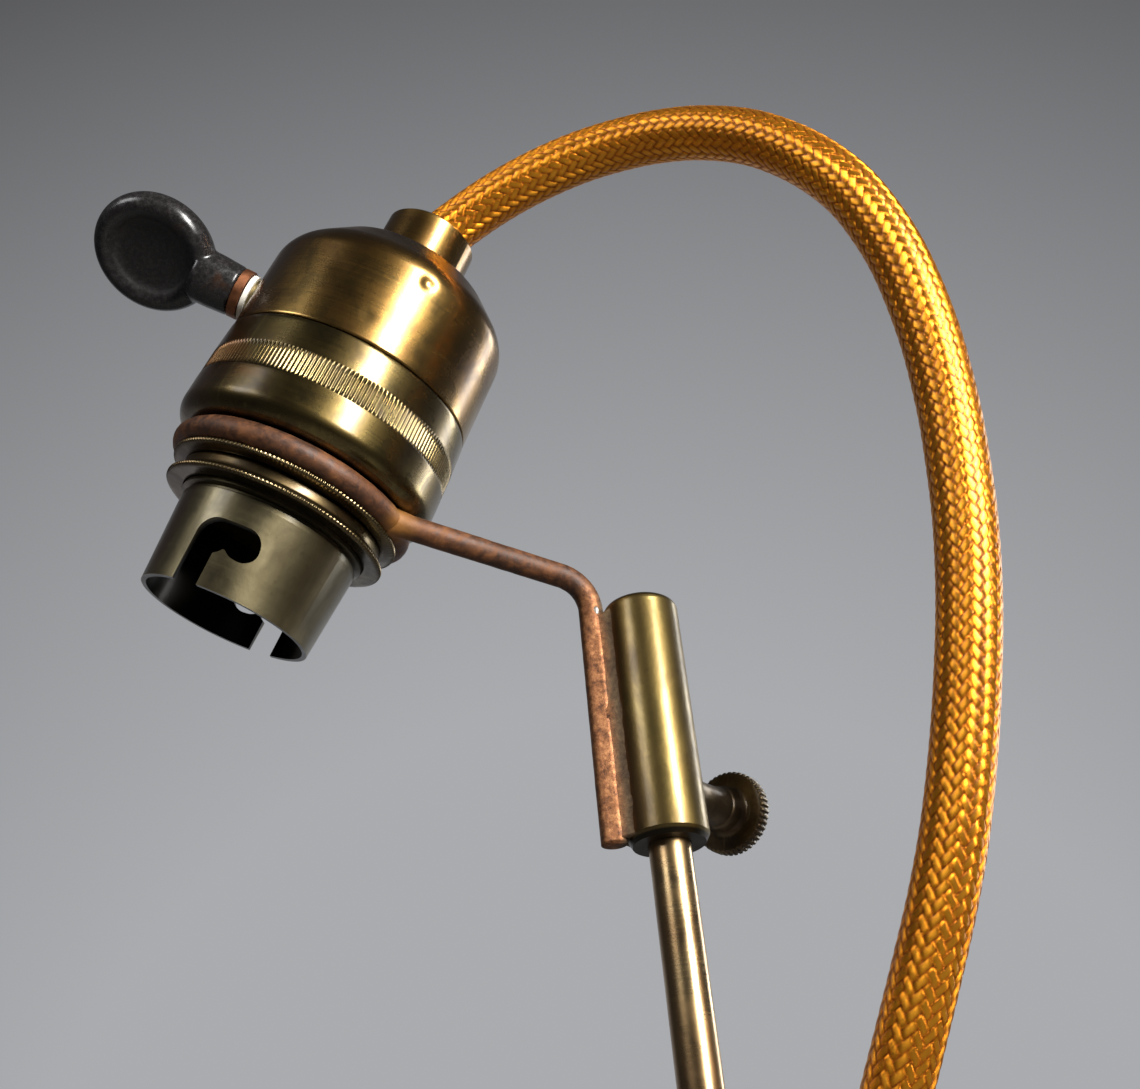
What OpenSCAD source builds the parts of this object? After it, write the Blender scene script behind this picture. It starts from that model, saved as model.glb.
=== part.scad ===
// Adjustable rod table lamp: a weighted round foot, a plain brass rod, and a head that slides on the
// rod. The head is a clamp sleeve with a knurled thumbscrew, a bent wire arm brazed to its side, and
// a key-switch bayonet lampholder that hangs mouth-down in the ring of the arm. A braided flex
// leaves the top of the lampholder and comes down beside the rod to a coil and a two-pin plug.
// Origin: middle of the underside of the foot. +Z up. Millimetres.

/* [Rod and sleeve] */
// Diameter of the rod
rod_d = 5.6; // [4:0.1:8]
// Height of the sleeve's lower edge above the table
sleeve_z = 290; // [290]
// Length of the clamp sleeve
sleeve_len = 35.5; // [30:0.5:36]
// Outside diameter of the clamp sleeve
sleeve_d = 10.8; // [10.8]

/* [Lampholder] */
// Tilt of the lampholder from the vertical, degrees
holder_tilt = 27.5; // [27.5]
// Compass turn of that tilt about the rod's direction, degrees
holder_turn = -16; // [-16]
// Bore of the bayonet skirt
socket_bore_d = 22.8; // [22.4:0.1:23]
// Length of the plain bore, from the mouth
socket_len = 13.2; // [12:0.1:13.2]
// Wall of the spun brass shells
shell_wall = 0.8; // [0.6:0.1:1]

/* [Wire arm] */
// Diameter of the arm's wire
wire_d = 3.5; // [3:0.1:3.5]
// Radius of the ring at the middle of the wire
ring_r = 16.2; // [16.2]
// Radius of the bend beside the sleeve
bend_r = 5; // [4:0.5:7]

/* [Foot] */
// Diameter of the foot
base_d = 124; // [110:2:124]
// Thickness of the felt
felt_t = 2; // [1.5:0.5:2]

/* [Flex] */
// Diameter of the braided flex
cord_d = 7.8; // [6:0.1:8]
// Radius of the coil's outer turns, at the middle of the flex
coil_r_out = 46; // [46]
// Radius of the coil's inner turns
coil_r_in = 38; // [38]

/* [Hidden] */

$fn = 64;
brass = [0.66, 0.56, 0.36];
old_brass = [0.47, 0.38, 0.22];
dark_brass = [0.26, 0.2, 0.12];
rusty_wire = [0.5, 0.33, 0.22];
black = [0.08, 0.08, 0.08];
amber = [0.8, 0.5, 0.12];
iron = [0.25, 0.25, 0.26];

rod_r = rod_d / 2;
sleeve_r = sleeve_d / 2;
wire_r = wire_d / 2;
cord_r = cord_d / 2;
run_gap = 0.07;
rod_bottom = 10;
rod_top = sleeve_z + sleeve_len + 0.3;

// Middle of the lampholder's mouth
mouth = [-56.7, -12.2, sleeve_z + 32.8];

// Stations along the lampholder's axis, from the mouth towards the cap
ring_s = 20.2;
flange_s = 23.05;
shell_s = 22.2;
seam_s = 37.7;
key_s = 45.2;
cap_top_s = 59.5;
grip_top_s = 68.5;

// Angles about the lampholder's axis
slot_angle = 21.75;
contact_angle = 34.5;
key_angle = -143.9;
paddle_turn = 38.5;
arm_angle = 8;

thumb_angle = 55;
thumb_z = 8.7;
leg_angle = 190;
leg_offset = sleeve_r + wire_r + 0.05;

base_r = base_d / 2;
coil_middle = [-8, 118];
coil_floor = 1;
layer_z = [coil_floor + cord_r, coil_floor + 3 * cord_r];
plug_aim = 240;
plug_r = 15;
plug_gap = 47;

// The flex from inside the cord grip, over in an arch and down to the height where it meets the
// lower stretch. The points were placed by hand.
upper_route = [[-31, -19.7, 376.6], [-28.2, -20.4, 380.3], [-24.9, -21.2, 383.2],
    [-21, -22.3, 385.5], [-16.7, -23.8, 387.3], [-12, -25.4, 388.7], [-7, -27, 389.7],
    [-1.5, -28.6, 390.3], [4.2, -30.3, 390], [10, -32.2, 388.7], [16.3, -34.4, 385.8],
    [22.9, -36.6, 380.8], [28.8, -37.7, 374.4], [33.3, -37.8, 367.6], [36.2, -37, 361],
    [38.4, -35.6, 353.6], [40, -33.2, 343.8], [40.5, -30.8, 334.6], [40.3, -28.9, 327],
    [39.6, -26.6, 318], [38.2, -23.8, 308.5], [36.3, -20.8, 299.4], [34.3, -18, 291.4],
    [31.9, -15, 283.3], [29.3, -12, 276.2], [26.5, -9, 269.6], [23.5, -5.8, 262.8],
    [20.5, -2.6, 256], [17, 1.5, 247], [14.2, 5.2, 237.5], [12.2, 8.8, 227], [11.2, 12.4, 215],
    [11.4, 16, 201], [12.8, 20, 184], [15, 24, 166], [17.4, 28, 148]];
// From there down behind the foot, along the table and into the coil
lower_route = [[17.45, 28.1, 147.6], [20, 32.4, 130], [22.6, 37.6, 110], [25.2, 44, 88],
    [27.8, 51.8, 66], [30.2, 60.4, 46], [32.4, 70, 29], [34.4, 80.6, 16], [36.2, 92.4, 8],
    [37.4, 104, 5.2], [38, 111, 4.9]];

// ---------- helpers ----------

function unit(v) = v / norm(v);
function dot(a, b) = a[0] * b[0] + a[1] * b[1] + a[2] * b[2];

// Direction of a route at point i
function heading(route, i) =
    unit(route[min(i + 1, len(route) - 1)] - route[max(i - 1, 0)]);

// Side directions carried along a route without twist
function carry(side, way) = unit(side - dot(side, way) * way);
function frames(route, i = 0, side = [0.3, 1, 0.2]) =
    i == len(route) ? [] :
    let (now = carry(side, heading(route, i)))
    concat([now], frames(route, i + 1, now));

// A closed tube swept along a route
module tube(route, r, sides = 10) {
    turns = frames(route);
    rings = len(route);
    points = [for (i = [0:rings - 1], k = [0:sides - 1])
        let (a = 360 * k / sides, u = turns[i], v = cross(heading(route, i), u))
        route[i] + r * (cos(a) * u + sin(a) * v)];
    walls = [for (i = [0:rings - 2], k = [0:sides - 1])
        let (m = (k + 1) % sides)
        [i * sides + k, (i + 1) * sides + k, (i + 1) * sides + m, i * sides + m]];
    ends = [[for (k = [0:sides - 1]) k], [for (k = [sides - 1:-1:0]) (rings - 1) * sides + k]];
    polyhedron(points, concat(walls, ends), convexity = 6);
}

// Points of an arc, for turned profiles
function arc(middle, r, from, to, steps = 10) =
    [for (i = [0:steps]) let (a = from + (to - from) * i / steps)
        [middle[0] + r * cos(a), middle[1] + r * sin(a)]];

// A plain ring from height z0 to z1
module ring(r_out, r_in, z0, z1) {
    translate([0, 0, z0])
        difference() {
            cylinder(h = z1 - z0, r = r_out);
            translate([0, 0, -1]) cylinder(h = z1 - z0 + 2, r = r_in);
        }
}

// Frame of the lampholder: its axis is +Z here, with the mouth at z = 0
module in_holder() {
    translate(mouth) rotate([0, holder_tilt, holder_turn]) children();
}

// Frame of the switch key: its shaft is +Z here, from the lampholder's axis outwards
module in_key() {
    in_holder() translate([0, 0, key_s]) rotate([0, 0, key_angle]) rotate([0, 90, 0]) children();
}

// Frame of the thumbscrew: its shaft is +Z here, from the rod's axis outwards
module in_thumb() {
    translate([0, 0, sleeve_z + thumb_z]) rotate([0, 0, thumb_angle]) rotate([0, 90, 0]) children();
}

// Frame of one of the two contacts in the lampholder
module at_contact(side) {
    rotate([0, 0, contact_angle]) translate([side * 4.6, 0, 0]) children();
}

// Frame of the plug: its length is +Z here, from the flex's entry to the pins
module in_plug() {
    start = [coil_middle[0] + coil_r_out * cos(150) + plug_gap * cos(plug_aim),
        coil_middle[1] + coil_r_out * sin(150) + plug_gap * sin(plug_aim), plug_r];
    translate(start) rotate([0, 0, plug_aim]) rotate([0, 90, 0]) children();
}

// ---------- foot ----------

module base_felt() {
    color([0.12, 0.22, 0.14]) cylinder(h = felt_t, r = base_r - 1.5);
}

module base_weight() {
    color(iron)
        difference() {
            rotate_extrude()
                polygon(concat([[0, felt_t], [base_r - 2.5, felt_t], [base_r - 2.5, 8]],
                    arc([base_r - 8, 8], 5.4, 0, 80, 6), [[16, 16], [0, 16]]));
            translate([0, 0, -1]) cylinder(h = 30, r = 5.1);
            translate([0, 0, felt_t - 1]) cylinder(h = 7, r = 11);
        }
}

module base_shell() {
    color(old_brass)
        rotate_extrude()
            polygon(concat([[base_r - 1.2, felt_t], [base_r, felt_t], [base_r, 8]],
                arc([base_r - 6, 8], 6, 0, 80, 8), [[30, 17.2], [17, 18.4], [14, 21], [6.2, 21]],
                [[6.2, 20], [13.4, 20], [16.6, 17.2], [30, 16.2]],
                arc([base_r - 7, 8], 5.8, 80, 0, 8)));
}

module rod_socket() {
    color(brass)
        difference() {
            union() {
                translate([0, 0, 4]) cylinder(h = 30, r = 5);
                rotate_extrude()
                    polygon(concat([[0, 21.1], [11, 21.1], [11, 22.6]],
                        arc([11, 28], 5.4, 270, 180, 8), [[5.6, 36], [0, 36]]));
            }
            translate([0, 0, rod_bottom - 0.1]) cylinder(h = 40, r = rod_r + run_gap);
            translate([0, 0, -1]) cylinder(h = 5, r = 2);
        }
}

module socket_washer() {
    color(iron) ring(9.5, 5.15, 6.9, 7.9);
}

module socket_nut() {
    color(iron)
        difference() {
            translate([0, 0, 2.6]) cylinder(h = 4.2, r = 8.6, $fn = 6);
            translate([0, 0, 2]) cylinder(h = 6, r = 5.05);
        }
}

// ---------- rod, sleeve and arm ----------

module rod() {
    color(brass)
        rotate_extrude()
            polygon(concat([[0, rod_bottom], [rod_r, rod_bottom], [rod_r, rod_top - 0.8]],
                arc([rod_r - 0.8, rod_top - 0.8], 0.8, 0, 90, 5), [[0, rod_top]]));
}

module clamp_sleeve() {
    chamfer = 0.6;
    color(brass)
        difference() {
            translate([0, 0, sleeve_z])
                rotate_extrude()
                    polygon(concat([[rod_r + run_gap, 0], [sleeve_r - chamfer, 0],
                        [sleeve_r, 1], [sleeve_r, sleeve_len - 1.2]],
                        arc([sleeve_r - 1.2, sleeve_len - 1.2], 1.2, 0, 90, 6),
                        [[rod_r + run_gap, sleeve_len]]));
            in_thumb() cylinder(h = 20, r = 1.95);
        }
}

module thumbscrew() {
    color(dark_brass)
        in_thumb() {
            translate([0, 0, rod_r + 0.1]) cylinder(h = 4, r = 1.9);
            translate([0, 0, 5.9]) cylinder(h = 9.2, r1 = 2.5, r2 = 2.3);
            translate([0, 0, 14.9]) cylinder(h = 1.6, r = 3);
            translate([0, 0, 16.4]) cylinder(h = 2.2, r = 5.9);
            translate([0, 0, 18.5]) cylinder(h = 0.5, r1 = 5.5, r2 = 4.9);
        }
}

// Middle of the wire's vertical leg, at the height where the arm would meet it without a bend
knee = [leg_offset * cos(leg_angle), leg_offset * sin(leg_angle), sleeve_z + 39.6];
// Where the arm meets the ring
axis_way = [sin(holder_tilt) * cos(holder_turn), sin(holder_tilt) * sin(holder_turn),
    cos(holder_tilt)];
side_x = [cos(holder_tilt) * cos(holder_turn), cos(holder_tilt) * sin(holder_turn),
    -sin(holder_tilt)];
side_y = [-sin(holder_turn), cos(holder_turn), 0];
joint_point = mouth + ring_s * axis_way + ring_r * (cos(arm_angle) * side_x + sin(arm_angle) * side_y);
arm_run_way = joint_point - knee;
arm_rise = atan2(arm_run_way[2], norm([arm_run_way[0], arm_run_way[1]]));
arm_aim = atan2(arm_run_way[1], arm_run_way[0]);
bend_turn = 90 - arm_rise;
bend_cut = bend_r * tan(bend_turn / 2);

module arm_ring() {
    color(rusty_wire)
        in_holder() translate([0, 0, ring_s]) rotate_extrude() translate([ring_r, 0]) circle(r = wire_r);
}

// The sloping stretch, from the ring to the bend
module arm_run() {
    color(rusty_wire)
        translate(knee) rotate([0, 0, arm_aim])
            translate([bend_cut * cos(arm_rise), 0, bend_cut * sin(arm_rise)])
                rotate([0, 90 - arm_rise, 0]) cylinder(h = norm(arm_run_way) - bend_cut, r = wire_r);
}

// The bend and the leg down the side of the sleeve
module arm_leg() {
    color(rusty_wire)
        translate(knee) rotate([0, 0, arm_aim]) {
            translate([0, 0, sleeve_z + 0.3 - knee[2]])
                cylinder(h = knee[2] - sleeve_z - 0.3 - bend_cut, r = wire_r);
            translate([bend_r, 0, -bend_cut]) rotate([90, 0, 0]) rotate([0, 0, 90 + arm_rise])
                rotate_extrude(angle = bend_turn) translate([bend_r, 0]) circle(r = wire_r);
        }
}

// The braze that fills the valley between the leg and the sleeve, hollow on both faces
module solder_fillet() {
    $fn = 192;
    color([0.45, 0.4, 0.33])
        difference() {
            translate([0, 0, sleeve_z + 0.8]) rotate([0, 0, leg_angle])
                linear_extrude(height = 33.4)
                    difference() {
                        translate([3.4, -3.8]) square([leg_offset - 3.4, 7.8]);
                        translate([6.9, 4.9]) circle(r = 3.05);
                        translate([6.9, -4.9]) circle(r = 3.05);
                    }
            translate([0, 0, sleeve_z - 1]) cylinder(h = 50, r = sleeve_r);
            translate([knee[0], knee[1], sleeve_z - 1]) cylinder(h = 50, r = wire_r);
        }
}

// ---------- lampholder shells ----------

// Outline of one bayonet slot, laid flat: straight entry, then a hook to the right
module slot_outline() {
    translate([-4.4, -1]) square([3.6, 7.8]);
    translate([-1.9, 6.8]) circle(r = 2.5);
    translate([-1.9, 5.45]) square([4.1, 3.85]);
    translate([2.2, 7]) circle(r = 2.3);
    translate([2.6, 6.6]) circle(r = 1.95);
    difference() {
        translate([-0.9, 4.55]) square([1, 1]);
        translate([0.1, 4.55]) circle(r = 0.9);
    }
}

module bayonet_slot() {
    rotate([0, 0, slot_angle]) translate([0, -5, 0]) rotate([90, 0, 0])
        linear_extrude(height = 15) slot_outline();
}

module skirt() {
    bore = socket_bore_d / 2;
    color(brass)
        in_holder()
            difference() {
                rotate_extrude()
                    polygon([[bore, 0], [bore + 0.7, 0], [13, 12.4], [13, 13.1], [12.7, 13.3],
                        [12.7, 13.6], [13.5, 13.9], [13.5, flange_s], [16.4, flange_s],
                        [16.4, flange_s + 0.8], [12, flange_s + 0.8], [12, socket_len + 0.6],
                        [bore, socket_len]]);
                bayonet_slot();
                rotate([0, 0, 180]) bayonet_slot();
            }
}

module lower_shade_ring() {
    color(old_brass)
        in_holder()
            rotate_extrude()
                polygon([[13.6, 14.4], [15.8, 14.4], [16.2, 14.6], [16.2, 15.1], [15.3, 15.5],
                    [14.9, 17.3], [13.6, 17.3]]);
}

module upper_shade_ring() {
    color(old_brass)
        in_holder()
            rotate_extrude()
                polygon([[13.6, 17.4], [15.4, 17.4], [16.5, 17.7], [16.8, 17.9], [16.8, 18.3],
                    [16.5, 18.4], [13.6, 18.4]]);
}

module lower_shell() {
    corner = [16.5, 25];
    color(old_brass)
        in_holder()
            rotate_extrude()
                polygon(concat([[13.7, shell_s], [corner[0], shell_s]],
                    arc(corner, 2.8, 270, 360, 8),
                    [[19.2, 33], [18.7, seam_s], [17.5, seam_s], [17.5, seam_s + 2.8],
                        [16.8, seam_s + 2.8], [16.8, seam_s - 2], [19.2 - shell_wall, 32]],
                    arc(corner, 2.8 - shell_wall, 360, 270, 8), [[13.7, shell_s + shell_wall]]));
}

// The cap's outline from its rim to its crown: a rounded shoulder, a slope and a rounded crown
function cap_outline(inset) =
    concat([[18.65 - inset, seam_s + 0.15]], arc([12.9, 51], 5.5 - inset, 0, 45, 6),
        arc([11.2, 56.1], 3.2 - inset, 45, 80, 4), [[8.6, cap_top_s - inset], [5, cap_top_s - inset]]);

module cap() {
    inner = cap_outline(shell_wall);
    color(old_brass)
        in_holder()
            difference() {
                rotate_extrude()
                    polygon(concat(cap_outline(0), [for (i = [len(inner) - 1:-1:0]) inner[i]]));
                translate([0, 0, key_s]) rotate([0, 0, key_angle]) rotate([0, 90, 0])
                    translate([0, 0, 10]) cylinder(h = 20, r = 3.05);
            }
}

module cord_grip() {
    color(old_brass)
        in_holder()
            rotate_extrude()
                polygon([[3.5, 57.2], [4.9, 57.2], [4.9, cap_top_s + 0.05], [8.4, cap_top_s + 0.05],
                    [8.5, cap_top_s + 0.6], [7.6, cap_top_s + 1.3], [7.15, cap_top_s + 2],
                    [7.1, grip_top_s - 0.4], [6.7, grip_top_s], [6.3, grip_top_s],
                    [6, grip_top_s - 0.5], [6, 60.7], [3.5, 60.7]]);
}

module cord_bush() {
    color([0.3, 0.22, 0.14]) in_holder() ring(5.95, 5.25, 60.8, 66);
}

// ---------- inside the lampholder ----------

module insulator() {
    color([0.16, 0.1, 0.07])
        in_holder()
            difference() {
                union() {
                    translate([0, 0, 17.5]) cylinder(h = 7, r = 11.8);
                    translate([0, 0, 24]) cylinder(h = 7, r = 16.2);
                }
                for (side = [-1, 1])
                    at_contact(side) {
                        translate([0, 0, 16]) cylinder(h = 12, r = 2.05);
                        translate([0, 0, 24.5]) cylinder(h = 8, r = 2.95);
                    }
            }
}

module plunger(side) {
    color([0.6, 0.57, 0.5])
        in_holder() at_contact(side)
            rotate_extrude()
                polygon(concat([[0, 13.8], [1.2, 13.8]], arc([1.2, 14.58], 0.78, 270, 360, 5),
                    [[1.98, 24.6], [2.8, 24.6], [2.8, 25.6], [0, 25.6]]));
}

// A compression spring behind a plunger: one wire swept along a helix
module plunger_spring(side) {
    turns = 4;
    wire = 0.25;
    z0 = 25.7 + wire;
    z1 = 30.9 - wire;
    steps = turns * 12;
    helix = [for (i = [0:steps])
        let (a = 360 * turns * i / steps)
        [2.2 * cos(a), 2.2 * sin(a), z0 + (z1 - z0) * i / steps]];
    color([0.6, 0.6, 0.58]) in_holder() at_contact(side) tube(helix, wire, 6);
}

module terminal_posts() {
    color(brass)
        in_holder()
            for (side = [-1, 1])
                at_contact(side)
                    difference() {
                        translate([0, 0, 31.05]) cylinder(h = 6.4, r = 3.2);
                        translate([0, 0, 35]) cylinder(h = 5, r = 1.25);
                        translate([-6, 0, 34]) rotate([0, 90, 0]) cylinder(h = 12, r = 1);
                    }
}

module terminal_screws() {
    color(brass)
        in_holder()
            for (side = [-1, 1])
                at_contact(side)
                    difference() {
                        union() {
                            translate([0, 0, 35.3]) cylinder(h = 3, r = 1.2);
                            translate([0, 0, 37.6]) cylinder(h = 1.6, r = 2.2);
                        }
                        translate([-3, -0.3, 38.6]) cube([6, 0.6, 2]);
                    }
}

module contact_blades() {
    color([0.72, 0.6, 0.38])
        in_holder()
            rotate([0, 0, key_angle])
                for (side = [-1, 1])
                    translate([0, side * 5.6, 31.05]) {
                        translate([-2, -0.25, 0]) cube([4, 0.5, 15]);
                        translate([-2, side > 0 ? -0.25 : -2.75, 0]) cube([4, 3, 0.6]);
                    }
}

// The two cores, from the end of the flex round the switch to the terminals. Each stop is a
// distance from the axis, an angle about it and a height.
core_stops = [[1.6, 0, 60.4], [1.9, 4, 57.5], [4.4, 20, 54.5], [8.4, 42, 51.5], [10.8, 58, 47],
    [11.5, 62, 42], [10.6, 52, 38], [9.4, 30, 35.4], [8.6, 10, 34.2], [7.9, 0, 34]];

module core_wires() {
    color([0.55, 0.15, 0.12])
        in_holder()
            for (side = [0, 180])
                tube([for (p = core_stops)
                    let (a = contact_angle + side + p[1])
                    [p[0] * cos(a), p[0] * sin(a), p[2]]], 0.9, 8);
}

// ---------- switch key ----------

module key_bush() {
    color(brass)
        in_key() ring(3, 1.66, 15.4, 18.85);
}

module fibre_washer() {
    color([0.86, 0.84, 0.78]) in_key() ring(3.4, 1.75, 18.95, 19.65);
}

module key_ferrule() {
    color([0.62, 0.38, 0.24])
        in_key() ring(3.8, 1.65, 19.8, 21.1);
}

module key_spindle() {
    color(brass)
        in_key() {
            translate([0, 0, 3.4]) cylinder(h = 24, r = 1.6);
            translate([0, 0, 13.4]) cylinder(h = 1.4, r = 2.6);
        }
}

module key_rotor() {
    color([0.2, 0.12, 0.08])
        in_key()
            difference() {
                translate([0, 0, -4]) cylinder(h = 9, r = 4.3);
                translate([0, 0, 3.4]) cylinder(h = 4, r = 1.6);
                translate([-6, 3.4, -2.5]) cube([12, 3, 5]);
                translate([-6, -6.4, -2.5]) cube([12, 3, 5]);
            }
}

module key_paddle() {
    middle = 34.1;
    color(black)
        in_key()
            difference() {
                union() {
                    translate([0, 0, 21.2]) cylinder(h = 6.4, r1 = 3.7, r2 = 4);
                    translate([0, 0, middle]) rotate([0, 0, paddle_turn]) rotate([0, 90, 0])
                        rotate_extrude() {
                            translate([6.35, 0]) circle(r = 2.4);
                            translate([0, -1.3]) square([6, 2.6]);
                        }
                }
                translate([0, 0, 21]) cylinder(h = 6.4, r = 1.6);
            }
}

// ---------- flex and plug ----------

module cord_upper() {
    color(amber) tube(upper_route, cord_r);
}

module cord_lower() {
    color(amber) tube(lower_route, cord_r);
}

module cord_coil() {
    color(amber)
        translate([coil_middle[0], coil_middle[1], 0])
            rotate_extrude()
                difference() {
                    translate([coil_r_in - cord_r, coil_floor])
                        square([coil_r_out - coil_r_in + cord_d, 4 * cord_r]);
                    for (x = [coil_r_in - cord_r, coil_r_out + cord_r])
                        for (z = [coil_floor, coil_floor + 4 * cord_r])
                            translate([x, z]) circle(r = 1.2);
                }
}

module cord_tail() {
    from = [coil_middle[0] + coil_r_out * cos(150), coil_middle[1] + coil_r_out * sin(150)];
    way = [cos(plug_aim), sin(plug_aim)];
    rise = plug_r - layer_z[1];
    function at(t) = [from[0] + way[0] * t, from[1] + way[1] * t,
        layer_z[1] + rise * (1 - cos(180 * t / plug_gap)) / 2];
    stops = [for (t = [10, 18, 26, 34, 42, plug_gap]) at(t)];
    color(amber) tube(concat(stops, [at(plug_gap) + [way[0], way[1], 0] * 9]), cord_r);
}

module cord_tie() {
    width = coil_r_out - coil_r_in + cord_d;
    color([0.15, 0.13, 0.1])
        translate([coil_middle[0], coil_middle[1], 0]) rotate([0, 0, 75])
            translate([coil_r_in - cord_r - 1, -3, 0])
                difference() {
                    cube([width + 2, 6, coil_floor + 4 * cord_r + 1]);
                    translate([1, -1, coil_floor]) cube([width, 8, 4 * cord_r]);
                }
}

module plug_body() {
    color([0.2, 0.1, 0.06])
        in_plug()
            rotate_extrude()
                polygon(concat([[cord_r + 0.1, 0], [6, 0], [6.4, 1]],
                    arc([6.4 + 8.5, 10], 8.5, 180, 120, 6), arc([plug_r - 7, 26], 7, 70, 0, 6),
                    [[plug_r, 33], [0, 33], [0, 10], [cord_r + 0.1, 10]]));
}

module plug_front() {
    color([0.2, 0.1, 0.06]) in_plug() translate([0, 0, 33.1]) cylinder(h = 5, r = plug_r);
}

module plug_pins() {
    color(brass)
        in_plug()
            for (side = [-1, 1])
                translate([0, side * 8.3, 38.1])
                    rotate_extrude()
                        polygon(concat([[0, 0], [2.5, 0]], [[2.5, 14.6]],
                            arc([1.7, 14.6], 0.8, 0, 90, 4), [[0, 15.4]]));
}

module plug_screw() {
    color(brass)
        in_plug()
            translate([0, 0, 38.1])
                difference() {
                    cylinder(h = 1, r = 2.4);
                    translate([-3, -0.35, 0.5]) cube([6, 0.7, 1]);
                }
}

base_felt();
base_weight();
base_shell();
rod_socket();
socket_washer();
socket_nut();
rod();
clamp_sleeve();
thumbscrew();
arm_ring();
arm_run();
arm_leg();
solder_fillet();
skirt();
lower_shade_ring();
upper_shade_ring();
lower_shell();
cap();
cord_grip();
cord_bush();
insulator();
plunger(1);  // plunger_a
plunger(-1);  // plunger_b
plunger_spring(1);  // spring_a
plunger_spring(-1);  // spring_b
terminal_posts();
terminal_screws();
contact_blades();
core_wires();
key_bush();
fibre_washer();
key_ferrule();
key_spindle();
key_rotor();
key_paddle();
cord_upper();
cord_lower();
cord_coil();
cord_tail();
cord_tie();
plug_body();
plug_front();
plug_pins();
plug_screw();
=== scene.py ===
"""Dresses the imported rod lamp: camera and lights, the braided flex, and finer stand-ins and materials.

Sizes are in millimetres in the constants below and turned into metres where a mesh is made.
"""

import math

import bpy
import numpy as np
from mathutils import Matrix, Vector


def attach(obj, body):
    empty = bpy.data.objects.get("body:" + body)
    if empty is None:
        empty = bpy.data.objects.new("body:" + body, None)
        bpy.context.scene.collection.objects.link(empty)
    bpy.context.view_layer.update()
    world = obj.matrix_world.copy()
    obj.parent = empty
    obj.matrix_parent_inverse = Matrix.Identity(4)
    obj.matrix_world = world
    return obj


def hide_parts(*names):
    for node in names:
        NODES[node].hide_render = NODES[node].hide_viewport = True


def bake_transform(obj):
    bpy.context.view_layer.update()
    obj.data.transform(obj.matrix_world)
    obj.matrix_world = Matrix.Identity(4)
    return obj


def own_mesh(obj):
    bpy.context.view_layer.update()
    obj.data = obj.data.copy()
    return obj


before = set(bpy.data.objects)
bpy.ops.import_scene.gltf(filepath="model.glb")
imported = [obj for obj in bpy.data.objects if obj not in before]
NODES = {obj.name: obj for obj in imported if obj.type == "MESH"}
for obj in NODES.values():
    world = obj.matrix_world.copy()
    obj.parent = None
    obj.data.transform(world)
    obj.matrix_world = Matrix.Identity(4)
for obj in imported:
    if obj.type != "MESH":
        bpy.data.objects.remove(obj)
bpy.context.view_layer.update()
MM = 0.001
NOISE = np.random.default_rng(7)


# ---------------------------------------------------------------- frames of the parts

def turn(axis, degrees):
    return Matrix.Rotation(math.radians(degrees), 4, axis)


def move(x, y, z):
    return Matrix.Translation((x, y, z))


SLEEVE_Z = 290
SLEEVE_R = 5.4
WIRE_R = 1.75
HOLDER = move(-56.7, -12.2, SLEEVE_Z + 32.8) @ turn("Z", -16) @ turn("Y", 27.5)
KEY_S = 45.2
KEY_ANGLE = -143.9
PADDLE_TURN = 38.5
PADDLE_MIDDLE = 34.1
KEY = HOLDER @ move(0, 0, KEY_S) @ turn("Z", KEY_ANGLE) @ turn("Y", 90)
PADDLE = KEY @ move(0, 0, PADDLE_MIDDLE) @ turn("Z", PADDLE_TURN) @ turn("Y", 90)
THUMB = move(0, 0, SLEEVE_Z + 8.7) @ turn("Z", 55) @ turn("Y", 90)
SEAM_S = 37.7
CORD_R = 3.9
COIL_MIDDLE = Vector((-8, 118, 0))
COIL_R = (46, 38, 38, 46)
COIL_LAYERS = (4.9, 4.9, 12.7, 12.7)
PLUG_AIM = 240
PLUG_R = 15
PLUG_GAP = 47
LEAVE = 150


# ---------------------------------------------------------------- camera

CAMERA_PLACE = Vector((-9.14, -151.07, 238.11))
CAMERA_RIGHT = Vector((0.99554, 0.05192, -0.07879))
CAMERA_UP = Vector((0.09436, -0.54778, 0.83129))
SENSOR_WIDTH = 36
LENS = 37.895


def add_camera():
    data = bpy.data.cameras.new("camera")
    data.sensor_fit = "HORIZONTAL"
    data.sensor_width = SENSOR_WIDTH
    data.lens = LENS
    data.clip_start = 0.01
    camera = bpy.data.objects.new("camera", data)
    back = CAMERA_RIGHT.cross(CAMERA_UP)
    aimed = Matrix((CAMERA_RIGHT, CAMERA_UP, back)).transposed().to_4x4()
    camera.matrix_world = Matrix.Translation(CAMERA_PLACE * MM) @ aimed
    bpy.context.scene.collection.objects.link(camera)
    bpy.context.scene.camera = camera


add_camera()


# ---------------------------------------------------------------- mesh helpers

def add_mesh(name, points, faces, place=None, smooth=True):
    """A mesh object from points in millimetres, put in place by a matrix in millimetres."""
    points = np.asarray(points, float).reshape(-1, 3)
    if place is not None:
        m = np.array(place)
        points = points @ m[:3, :3].T + m[:3, 3]
    mesh = bpy.data.meshes.new(name)
    mesh.from_pydata((points * MM).tolist(), [], faces)
    mesh.validate()
    mesh.update()
    for polygon in mesh.polygons:
        polygon.use_smooth = smooth
    thing = bpy.data.objects.new(name, mesh)
    bpy.context.scene.collection.objects.link(thing)
    return thing


def grid_faces(rows, columns, close_rows=False, close_columns=True):
    """Quads over a grid of points numbered row by row."""
    faces = []
    for i in range(rows if close_rows else rows - 1):
        for k in range(columns if close_columns else columns - 1):
            i2, k2 = (i + 1) % rows, (k + 1) % columns
            faces.append((i * columns + k, i * columns + k2, i2 * columns + k2, i2 * columns + k))
    return faces


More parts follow.
